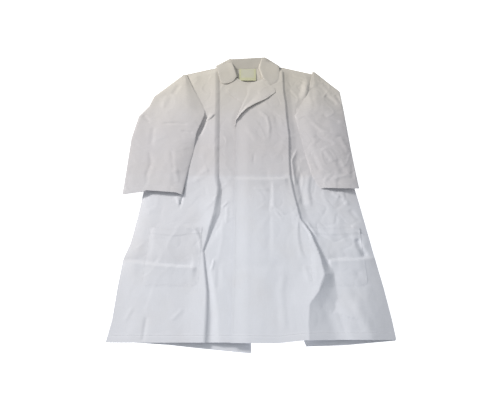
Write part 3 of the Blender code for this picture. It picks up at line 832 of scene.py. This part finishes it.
def collar_back_cut(u, v):
    across = -0.102 + 0.211 * u
    path_y = [-0.062, -0.040, -0.018, -0.006, -0.001, -0.001, -0.005, -0.016, -0.045, -0.074]
    path_z = [0.0052, 0.0082, 0.0112, 0.0120, 0.0102, 0.0070, 0.0042, 0.0022, 0.0018, 0.0018]
    walk = np.interp(v, np.linspace(0, 1, 10), np.arange(10))
    rise = np.interp(walk, range(10), path_z)
    top = at(across,
             [(-0.102, 1.080), (-0.074, 1.104), (0.0, 1.110), (0.056, 1.115), (0.066, 1.106),
              (0.092, 1.079), (0.104, 1.066), (0.109, 1.062)])
    under_leaf = smooth(np.abs(across + 0.007), 0.064, 0.084)
    y = top + np.interp(walk, range(10), path_y) * (1 - 0.42 * under_leaf)
    rise = np.maximum(rise * (1 - 0.35 * under_leaf - 0.25 * smooth(across, 0.086, 0.104)), 0.0018)
    hollow = 0.0016 * np.cos(across * 22) * smooth(0.45 - v, 0, 0.2)
    return across, y, rise - hollow + 0.0004 * roll(across, y, 0.03, 41) * smooth(0.5 - v, 0, 0.2)


collar_back = cloth_sheet("collar_back_roll", 48, 54, collar_back_cut, stand_twill_painted_shade, 0.0014,
                          outward=1.0)
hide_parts("collar_back")
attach(collar_back, "coat")


def along(path, v):
    """Where the share v of a path's points has been passed, across and up."""
    shares = [k / (len(path) - 1) for k in range(len(path))]
    return [np.interp(v, shares, axis) for axis in zip(*path)]


def leaf_cut(inner, outer, sag, base, crest, inward):
    """A collar leaf: u runs from inside the stand, over the roll and out to the leaf's edge."""

    def shape(u, v):
        stand = 0.24
        out = np.clip((u - stand) / (1 - stand), 0, 1)
        (ix, iy), (ox, oy) = along(inner, v), along(outer, v)
        x, y = ix + (ox - ix) * out, iy + (oy - iy) * out
        down = np.clip(1 - u / stand, 0, 1)
        x = x + inward * 0.0035 * down**1.5
        y = y - sag * (1 - np.abs(2 * out - 1) ** 3) * (1 - v) ** 2.5
        end = smooth(v, 0.90, 1.0)
        hump = (crest * (1 - smooth(out, 0.0, 0.34)) * (0.35 + 0.65 * smooth(v, 0.0, 0.35))
                * (1 - 0.6 * smooth(v, 0.8, 1.0)))
        z = base + hump - 0.0045 * smooth(v, 0.45, 1.0) + 0.0006 * roll(x, y, 0.03, 43) * out
        z = z * (1 - down**2.2) + 0.0062 * down**2.2
        edge = smooth(out, 0.88, 1.0) + smooth(0.08 - v, 0, 0.08)
        return (x, y, z - 0.0006 * np.clip(edge, 0, 1)
                - (base + hump - 0.0060) * end * smooth(out, 0.15, 0.6))

    return shape


LEFT_LEAF_IN = [(-0.049, 1.000), (-0.056, 1.035), (-0.065, 1.071), (-0.076, 1.105)]
LEFT_LEAF_OUT = [(-0.1085, 0.977), (-0.115, 1.010), (-0.121, 1.040), (-0.127, 1.062)]
RIGHT_LEAF_IN = [(0.067, 0.954), (0.047, 0.998), (0.036, 1.050), (0.046, 1.108)]
RIGHT_LEAF_OUT = [(0.1035, 0.981), (0.1065, 1.020), (0.1060, 1.050), (0.104, 1.068)]
for word, inner, outer, sag, base, crest, inward, flap in (
    ("left", LEFT_LEAF_IN, LEFT_LEAF_OUT, 0.025, 0.0116, 0.0016, 1, "under"),
    ("right", RIGHT_LEAF_IN, RIGHT_LEAF_OUT, 0.006, 0.0156, 0.0010, -1, "over"),
):
    cut = leaf_cut(inner, outer, sag, base, crest, inward)
    leaf = cloth_sheet(f"collar_leaf_{word}", 60, 60, cut, collar_twill_painted_shade, COLLAR_LAYERS, closed=True)
    sew(leaf, [seam_row(cut, (0.93, 0.92), (0.93, 0.07)),
               seam_row(cut, (0.93, 0.07), (0.40, 0.07))])
    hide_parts(f"collar_{flap}")
    side = -1 if word == "left" else 1
    MIDDLE + side * 0.060
    MIDDLE + side * 0.080
    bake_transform(leaf)

# ---------------------------------------------------------------- lapels
# The turned-back top of each front: doubled twill, pressed along its roll line.
# The right lapel's bellied outer edge stands a little off the front and shades it.


def lapel_cut(inner, outer, base, lift, follow):
    def shape(u, v):
        (ix, iy), (ox, oy) = along(inner, v), along(outer, v)
        x, y = ix + (ox - ix) * u, iy + (oy - iy) * u
        z = follow(x, y) + base
        z = (z + lift * smooth(u, 0.55, 1.0) * smooth(v, 0.02, 0.20)
             * (1 - 0.95 * smooth(v, 0.48, 0.78)))
        z = z - 0.0012 * (1 - smooth(u, 0.0, 0.25))
        return x, y, z + 0.0005 * roll(x, y, 0.035, 51) * u

    return shape


RIGHT_ROLL = [(-0.048, 0.742), (-0.047, 0.772), (-0.036, 0.815), (-0.024, 0.860), (-0.011, 0.905),
              (-0.013, 0.945), (0.004, 0.968), (0.026, 0.975), (0.045, 0.990)]
RIGHT_LAPEL_EDGE = [(-0.0485, 0.738), (-0.046, 0.772), (-0.031, 0.803), (-0.009, 0.833),
                    (0.020, 0.857), (0.055, 0.880), (0.089, 0.915), (0.086, 0.938), (0.067, 0.957)]
LEFT_ROLL = [(0.028, 0.785), (0.026, 0.835), (0.024, 0.885), (0.018, 0.945), (-0.010, 0.967),
             (-0.030, 0.976), (-0.047, 0.994)]
LEFT_LAPEL_EDGE = [(0.018, 0.780), (-0.006, 0.836), (-0.030, 0.862), (-0.062, 0.890),
                   (-0.079, 0.915), (-0.078, 0.940), (-0.070, 0.962)]
cut = lapel_cut(RIGHT_ROLL, RIGHT_LAPEL_EDGE, 0.0013, 0.0046, right_front_height)
right_lapel = cloth_sheet("right_lapel", 40, 90, cut, coat_twill, 0.0013, closed=True)
sew(right_lapel, [seam_row(cut, (0.93, 0.10), (0.93, 0.95))])
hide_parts("lapel_over")
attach(right_lapel, "over_front")
cut = lapel_cut(LEFT_ROLL, LEFT_LAPEL_EDGE, 0.0011, 0.0004, left_front_height)
left_lapel = cloth_sheet("left_lapel", 40, 70, cut, coat_twill, 0.0010, closed=True)
sew(left_lapel, [seam_row(cut, (0.95, 0.10), (0.95, 0.95))])
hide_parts("lapel_under")
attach(left_lapel, "under_front")

# ---------------------------------------------------------------- sleeves
# Two-piece set-in sleeves laid flat on the body, hemmed at the cuff, and folded at the elbow.
# Each is a flattened tube, cut here above the elbow fold where both halves move together.
CUT = 0.735
CUFF = 0.463
SLEEVES = {
    "left": {
        "side": -1,
        "droop": 0.110,
        "fall": 0.0068,
        "flat_top": 0.2,
        "close": [(CUFF, 0.0), (0.510, 0.2), (0.560, 0.8), (0.640, 0.8), (0.690, 0.0)],
        "inner": [(CUFF, 0.200), (0.518, 0.1935), (0.644, 0.178), (0.709, 0.174), (0.794, 0.153),
                  (0.816, 0.152), (0.908, 0.188), (1.013, 0.2325)],
        "outer": [(CUFF, 0.3785), (0.686, 0.386), (0.792, 0.376), (0.842, 0.347), (0.893, 0.336),
                  (1.013, 0.240)],
        "cuff": [(-0.380, 0.453), (-0.314, 0.466), (-0.306, 0.471), (-0.220, 0.463),
                 (-0.196, 0.452)],
        "top": 1.013,
        "folds": [
            ([(-0.307, 0.478), (-0.314, 0.536), (-0.306, 0.576), (-0.321, 0.640)], -0.0018, 0.010,
             0.016, True),
            ([(-0.233, 0.550), (-0.250, 0.640)], -0.0012, 0.010, 0.014, True),
            ([(-0.205, 0.752), (-0.245, 0.758), (-0.290, 0.756)], -0.0022, 0.008, 0.018, True),
            ([(-0.185, 0.712), (-0.225, 0.722)], -0.0016, 0.008, 0.014, True),
            ([(-0.315, 0.650), (-0.318, 0.745)], -0.0014, 0.012, 0.012, False),
            ([(-0.270, 0.900), (-0.250, 0.960)], -0.0014, 0.014, 0.014, False),
            ([(-0.300, 0.830), (-0.285, 0.900)], 0.0013, 0.016, 0.016, False),
            ([(-0.215, 0.500), (-0.228, 0.560)], 0.0012, 0.012, 0.010, False),
            ([(-0.360, 0.800), (-0.330, 0.760)], -0.0014, 0.010, 0.012, False),
        ],
    },
    "right": {
        "side": 1,
        "droop": 0.045,
        "fall": 0.0088,
        "flat_top": 0.9,
        "close": [(CUFF, 0.9), (1.0, 0.9)],
        "inner": [(CUFF, 0.212), (0.480, 0.203), (0.520, 0.191), (0.600, 0.176), (0.709, 0.163),
                  (0.794, 0.150), (0.839, 0.170), (0.925, 0.206), (1.028, 0.228)],
        "outer": [(CUFF, 0.3265), (0.636, 0.3220), (0.823, 0.3200), (0.919, 0.3175), (0.955, 0.290),
                  (1.028, 0.236)],
        "cuff": [(0.190, 0.468), (0.223, 0.480), (0.333, 0.477)],
        "top": 1.027,
        "folds": [
            ([(0.226, 0.830), (0.219, 0.880), (0.222, 0.950)], -0.0016, 0.014, 0.030, False),
            ([(0.262, 0.900), (0.300, 0.850)], -0.0020, 0.014, 0.014, False),
            ([(0.300, 0.905), (0.316, 0.850)], -0.0018, 0.010, 0.012, False),
            ([(0.255, 0.960), (0.285, 0.900)], 0.0016, 0.014, 0.014, False),
            ([(0.240, 0.800), (0.300, 0.760)], -0.0020, 0.014, 0.016, False),
            ([(0.200, 0.770), (0.240, 0.720), (0.300, 0.700)], 0.0020, 0.014, 0.012, False),
            ([(0.205, 0.700), (0.270, 0.660)], -0.0018, 0.014, 0.014, False),
            ([(0.290, 0.700), (0.315, 0.620)], 0.0018, 0.012, 0.014, False),
            ([(0.230, 0.650), (0.260, 0.580)], 0.0018, 0.016, 0.012, False),
            ([(0.195, 0.620), (0.215, 0.540)], -0.0016, 0.014, 0.012, False),
            ([(0.270, 0.600), (0.290, 0.520)], -0.0018, 0.014, 0.016, False),
            ([(0.180, 0.510), (0.187, 0.560)], 0.0018, 0.006, 0.008, True),
            ([(0.240, 0.500), (0.300, 0.530)], 0.0013, 0.014, 0.014, False),
            ([(0.310, 0.500), (0.318, 0.580)], -0.0014, 0.012, 0.010, False),
        ],
    },
}


def sleeve_cut(plan, low, high):
    side = plan["side"]
    body_side = LEFT_SIDE if side < 0 else RIGHT_SIDE

    def shape(u, v):
        rows = [0, 0.10, 1] if low == CUFF else [0, 0.90, 1]
        marks = [low, low + 0.028, high] if low == CUFF else [low, high - 0.030, high]
        y = np.interp(v, rows, marks)
        turn = 2 * math.pi * u
        across = 0.5 - 0.5 * np.cos(turn)
        upper = np.sin(turn) >= 0
        inner, outer = at(y, plan["inner"]), at(y, plan["outer"])
        x = side * (inner + (outer - inner) * across)
        away_from_body = np.abs(x) - np.abs(at(y, body_side))
        close = at(y, plan["close"])
        sewn = np.maximum(smooth(y, 0.795, 0.835), close) * (1 - smooth(across, 0.05, 0.30))
        under = (0.0104 - 0.0010 * sewn - plan["fall"]
                 * smooth(away_from_body, -0.030, plan["droop"]))
        width = outer - inner
        full = 0.0072 * smooth(width, 0.0, 0.075) * (1 - plan["flat_top"] * smooth(y, 0.88, 1.0))
        firm = 0.34 + 1.10 * sewn + (0.45 if side > 0 else 0.0) * (1 - smooth(across, 0.2, 0.6))
        swell = np.abs(np.sin(turn)) ** firm
        thick = 0.0014 - 0.0003 * sewn + full * swell
        z = under + np.where(upper, thick, 0.0)
        inside = smooth(np.abs(np.sin(turn)), 0.05, 0.45) * upper
        folds = sum(crease(x, y, *fold) for fold in plan["folds"])
        noisy = (0.0009 * roll(x, y, 0.070, 61 + side, (1.0, 1.5))
                 + 0.0003 * roll(x, y, 0.024, 63 + side, (1.0, 1.4)))
        tucks = crumple(x, y, 0.060, 65 + side, (1.0, 1.4)) - 0.6 * crumple(x, y, 0.034, 68 + side)
        noisy = noisy + (0.0007 + 0.0003 * side) * tucks
        z = z + inside * (folds + noisy)
        cuff = at(x, plan["cuff"]) - CUFF
        from_cuff = y - CUFF
        z = z + np.where(upper, 1, 0) * hem_band(from_cuff)
        y = y + cuff * (1 - smooth(y, CUFF, CUFF + 0.10))
        return x, y, z

    return shape


for word, plan in SLEEVES.items():
    side = plan["side"]
    head = cloth_sheet(f"sleeve_head_{word}", 132, 84, sleeve_cut(plan, CUT, plan["top"]),
                       sleeve_twill, CLOTH, closed=True, outward=-1.0)
    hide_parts(f"upper_sleeve_under_{word}", f"upper_sleeve_top_{word}")
    seam = Vector((MIDDLE + side * 0.190, HEM + 0.909, 0.011))
    out = Vector((side * 0.929, -0.371, 0))
    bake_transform(head)
    cut = sleeve_cut(plan, CUFF, CUT)
    arm = cloth_sheet(f"sleeve_arm_{word}", 132, 92, cut, sleeve_twill, CLOTH, closed=True,
                      outward=-1.0)
    sew(arm, [seam_row(cut, (0.04, 0.070), (0.46, 0.070))])
    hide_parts(f"forearm_under_{word}", f"forearm_top_{word}")
    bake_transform(arm)

# ---------------------------------------------------------------- buttons
# Four-hole buttons of pearly pressed plastic, sewn to the left front with a cross of thread.
pearl = Recipe("pearl_plastic")
place = pearl.node("TexCoord", {}, "Object")
clouds = pearl.node("TexNoise", {}, 0, Vector=place, Scale=220.0, Detail=3.0, Roughness=0.6)
pearl_colour = pearl.node("Mix", {"data_type": "RGBA"}, 2, _0=clouds, _6=(0.62, 0.61, 0.58, 1),
                          _7=(0.78, 0.78, 0.77, 1))
pearl.varies("Base Color", pearl_colour)
pearl.varies("Roughness", 0.22 + clouds * 0.10)
pearl.steady(Coat_Weight=0.5, Coat_Roughness=0.12)
HOLE_RADIUS = 0.0009
HOLE_SPACING = 0.0016  # a hole's centre from the button's, each way
THREAD_RADIUS = 0.00035


def lathe(work, profile, segments=40):
    """Turns a half profile, from the middle of one face round to the other, into a solid."""
    rings = [[work.verts.new((0, 0, profile[0][1]))]]
    for radius, z in profile[1:-1]:
        turns = [2 * math.pi * k / segments for k in range(segments)]
        rings.append([work.verts.new((radius * math.cos(a), radius * math.sin(a), z))
                      for a in turns])
    rings.append([work.verts.new((0, 0, profile[-1][1]))])
    for near, far in zip(rings[:-1], rings[1:]):
        for k in range(segments):
            corners = [near[k % len(near)], near[(k + 1) % len(near)], far[(k + 1) % len(far)],
                       far[k % len(far)]]
            work.faces.new(list(dict.fromkeys(corners)))
    bmesh.ops.recalc_face_normals(work, faces=work.faces)


def loose_object(name, work):
    mesh = bpy.data.meshes.new(name)
    work.to_mesh(mesh)
    work.free()
    made = bpy.data.objects.new(name, mesh)
    bpy.context.scene.collection.objects.link(made)
    return made


for number in range(1, 5):
    low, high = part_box(f"button_{number}")
    middle = Vector(((low.x + high.x) / 2, (low.y + high.y) / 2, 0))
    rim, top = (high.x - low.x) / 2, high.z - 0.0002
    work = bmesh.new()
    lathe(work, [(0, low.z), (0.80 * rim, low.z), (0.96 * rim, low.z + 0.0006),
                 (rim, (low.z + top) / 2), (0.95 * rim, top - 0.0003),
                 (0.86 * rim, top), (0.70 * rim, top), (0.56 * rim, top - 0.0006),
                 (0, top - 0.0006)])
    button = loose_object(f"shirt_button_{number}", work)
    work = bmesh.new()
    for a, b in ((1, 1), (1, -1), (-1, 1), (-1, -1)):
        hole = bmesh.ops.create_cone(work, cap_ends=True, segments=16, radius1=HOLE_RADIUS,
                                     radius2=HOLE_RADIUS, depth=0.02)
        bmesh.ops.translate(work, verts=hole["verts"],
                            vec=(a * HOLE_SPACING, b * HOLE_SPACING, low.z))
    drill = loose_object("drill", work)
    bore = button.modifiers.new("holes", "BOOLEAN")
    bore.object, bore.operation, bore.solver = drill, "DIFFERENCE", "EXACT"
    bpy.context.view_layer.update()
    graph = bpy.context.evaluated_depsgraph_get()
    bored = bpy.data.meshes.new_from_object(button.evaluated_get(graph))
    button.modifiers.clear()
    bpy.data.objects.remove(drill, do_unlink=True)
    work = bmesh.new()
    work.from_mesh(bored)
    for tilt in (45, 135):
        bar = bmesh.ops.create_cone(work, cap_ends=True, segments=8, radius1=THREAD_RADIUS,
                                    radius2=THREAD_RADIUS, depth=2 * math.sqrt(2) * HOLE_SPACING)
        turn = Euler((math.radians(90), 0, math.radians(tilt))).to_matrix()
        bmesh.ops.rotate(work, verts=bar["verts"], cent=(0, 0, 0), matrix=turn)
        bmesh.ops.translate(work, verts=bar["verts"], vec=(0, 0, top - 0.0004))
        for face in {face for vert in bar["verts"] for face in vert.link_faces}:
            face.material_index = 1
    bmesh.ops.translate(work, verts=work.verts, vec=middle)
    work.to_mesh(bored)
    work.free()
    bored.materials.clear()
    bored.materials.append(pearl.material)
    bored.materials.append(thread.material)
    bored.shade_smooth()
    bored.set_sharp_from_angle(angle=math.radians(40))
    button.data = bored
    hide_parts(f"button_{number}")
    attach(button, "under_front")
